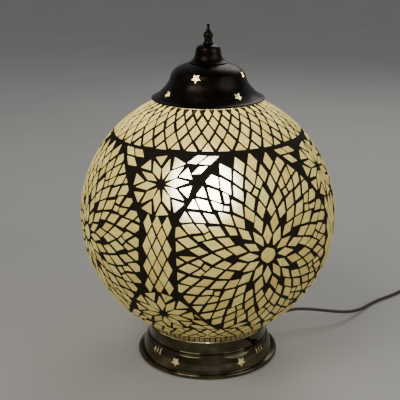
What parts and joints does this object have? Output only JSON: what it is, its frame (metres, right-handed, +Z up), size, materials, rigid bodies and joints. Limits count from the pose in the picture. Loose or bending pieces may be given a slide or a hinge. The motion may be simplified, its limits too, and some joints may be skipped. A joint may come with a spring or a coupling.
{
  "type": "table lamp",
  "caption": "Globe table lamp of mosaic glass on a pierced metal base, with a pierced cap, a turned finial, a screw-in bulb and a corded plug.",
  "frame": {"origin": "on the table under the middle of the base", "axes": "+Z up along the lamp's axis, -Y towards the viewer of the front, +X to the viewer's right"},
  "size_m": [0.6433, 0.4448, 0.503],
  "materials": {
    "antique_metal": "dark antiqued spun brass, satin",
    "polished_metal": "polished, browned, with darker hollows",
    "screw_brass": "satin turned brass",
    "zinc_steel": "zinc plated, dull",
    "felt": "matt felt",
    "holder_plastic": "moulded, satin",
    "insulator": "unglazed white",
    "clear_glass": "clear blown glass",
    "mosaic_glass": "cream glass tiles in dark grout, lit from inside",
    "bulb_glass": "frosted, lit",
    "cord_sheath": "smooth dark brown sheath",
    "fitting_plastic": "moulded dark brown, satin",
    "rocker_plastic": "moulded ivory"
  },
  "bodies": {
    "base": {"base_skirt": "polished_metal", "fitter_collar": "polished_metal", "bottom_plate": "zinc_steel", "felt_disc": "felt", "cross_bar": "zinc_steel", "bar_bolt_1": "zinc_steel", "bar_bolt_2": "zinc_steel", "bar_nut_1": "zinc_steel", "bar_nut_2": "zinc_steel", "threaded_tube": "zinc_steel", "tube_nut_lower": "zinc_steel", "tube_nut_upper": "zinc_steel", "holder_base": "holder_plastic", "holder_sleeve": "holder_plastic", "holder_insulator": "insulator", "holder_screw_shell": "screw_brass", "cord_gland": "cord_sheath", "inner_lead": "cord_sheath", "cord_lead": "cord_sheath", "cord_coil": "cord_sheath", "coil_tie": "cord_sheath", "cord_to_switch": "cord_sheath", "cord_to_plug": "cord_sheath", "switch_lower_shell": "fitting_plastic", "switch_upper_shell": "fitting_plastic", "plug_body": "fitting_plastic", "plug_pin_1": "screw_brass", "plug_pin_2": "screw_brass"},
    "globe": {"glass_globe": "clear_glass", "mosaic_shell": "mosaic_glass", "cap_bridge": "zinc_steel", "cap_rod": "zinc_steel", "bridge_nut": "zinc_steel"},
    "cap": {"cap_shell": "antique_metal", "finial_cup": "antique_metal"},
    "finial": {"finial": "antique_metal"},
    "bulb": {"bulb_contact": "screw_brass", "bulb_screw_cap": "zinc_steel", "bulb_envelope": "bulb_glass"},
    "thumb_1": {"thumb_screw_1": "antique_metal"},
    "thumb_2": {"thumb_screw_2": "antique_metal"},
    "rocker": {"switch_rocker": "rocker_plastic"}
  },
  "joints": [
    {"name": "globe_lift", "type": "slide", "parent": "base", "child": "globe", "axis": [0, 0, 1], "range_m": [0, 0.26]},
    {"name": "cap_lift", "type": "slide", "parent": "globe", "child": "cap", "axis": [0, 0, 1], "range_m": [0, 0.06]},
    {"name": "finial_turn", "type": "hinge", "parent": "cap", "child": "finial", "pos_m": [0, 0, 0.488], "axis": [0, 0, 1], "continuous": true},
    {"name": "bulb_turn", "type": "hinge", "parent": "base", "child": "bulb", "pos_m": [0, 0, 0.2], "axis": [0, 0, 1], "continuous": true},
    {"name": "thumb_screw_1_travel", "type": "slide", "parent": "base", "child": "thumb_1", "axis": [0.7071, -0.7071, 0], "range_m": [0, 0.006]},
    {"name": "thumb_screw_2_travel", "type": "slide", "parent": "base", "child": "thumb_2", "axis": [-0.7071, 0.7071, 0], "range_m": [0, 0.006]},
    {"name": "switch_rock", "type": "hinge", "parent": "base", "child": "rocker", "pos_m": [0.4362, 0.116, 0.0146], "axis": [1, 0, 0], "range_deg": [0, 18]}
  ]
}
